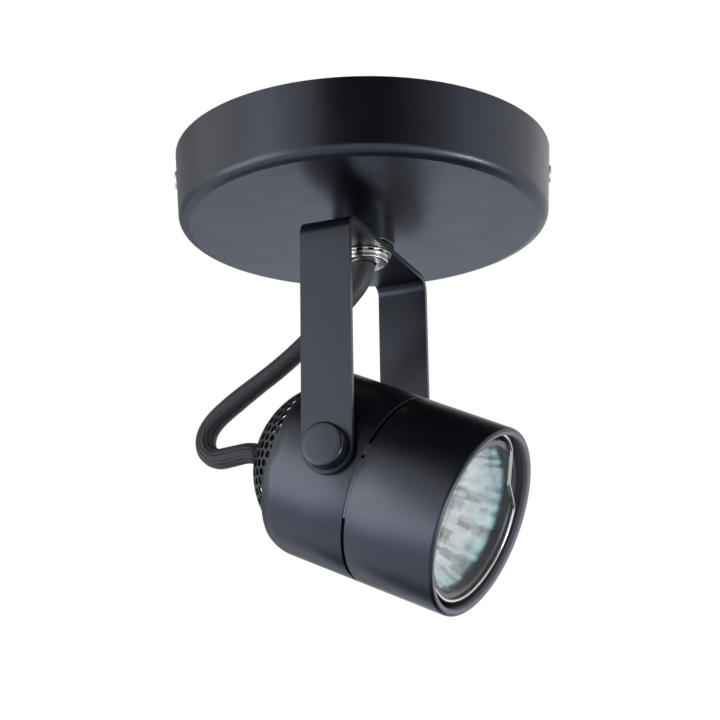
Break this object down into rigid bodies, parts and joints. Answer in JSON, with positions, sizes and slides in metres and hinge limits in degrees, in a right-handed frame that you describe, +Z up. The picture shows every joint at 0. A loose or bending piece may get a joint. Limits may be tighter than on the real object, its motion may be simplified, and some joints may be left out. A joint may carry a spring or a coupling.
{
  "type": "spotlight",
  "caption": "Ceiling spotlight: a round black canopy, a short stem and a strap yoke carry a tilting tubular head with a reflector lamp and a perforated rear cap.",
  "frame": {"origin": "centre of the canopy's open rim, on the ceiling", "axes": "+Z up into the ceiling, +Y along the tilt axis, +X the side that the head points to at rest"},
  "size_m": [0.12, 0.12, 0.1515],
  "materials": {
    "black_coating": "satin black powder coating",
    "brown_steel": "dull dark steel",
    "zinc_steel": "zinc plated",
    "nickel": "bright nickel plated",
    "brass_metal": "plain brass",
    "black_plastic": "matt",
    "black_sleeving": "soft heat-proof sleeving",
    "ceramic": "glazed ceramic",
    "coated_glass": "coated reflector glass",
    "clear_glass": "clear"
  },
  "bodies": {
    "ceiling_fitting": {"canopy": "black_coating", "ceiling_bar": "zinc_steel", "side_screws": "nickel", "earth_screw": "brass_metal", "earth_clamp_washer": "brass_metal", "stem": "black_coating", "nipple": "nickel", "inner_washer": "zinc_steel", "inner_lock_nut": "zinc_steel", "nipple_bushing": "black_plastic", "swivel_washer": "black_plastic", "yoke_washer": "nickel", "tooth_washer": "nickel", "round_nut": "nickel"},
    "yoke": {"yoke": "black_coating", "cord_sleeve": "black_sleeving"},
    "head": {"rear_housing": "black_coating", "front_barrel": "black_coating", "coupling_sleeve": "brown_steel", "rear_cap": "black_coating", "cord_grommet": "black_plastic", "holder_plate": "zinc_steel", "lamp_holder": "ceramic", "holder_contacts": "brass_metal", "holder_screws": "zinc_steel", "lamp_base": "ceramic", "lamp_pins": "nickel", "lamp_reflector": "coated_glass", "lamp_capsule": "clear_glass", "lamp_front_glass": "clear_glass", "snap_ring": "nickel", "pivot_screw_right": "black_coating", "pivot_screw_left": "black_coating", "friction_washer_right": "black_plastic", "friction_washer_left": "black_plastic", "lock_washer_right": "zinc_steel", "lock_washer_left": "zinc_steel", "pivot_nut_right": "zinc_steel", "pivot_nut_left": "zinc_steel"}
  },
  "joints": [
    {"name": "yoke_swivel", "type": "hinge", "parent": "ceiling_fitting", "child": "yoke", "pos_m": [0, 0, -0.0328], "axis": [0, 0, 1], "range_deg": [-175, 175]},
    {"name": "head_tilt", "type": "hinge", "parent": "yoke", "child": "head", "pos_m": [0, 0, -0.104], "axis": [0, 1, 0], "range_deg": [-25.5, 64.5], "deforming": ["cord_sleeve"]}
  ]
}
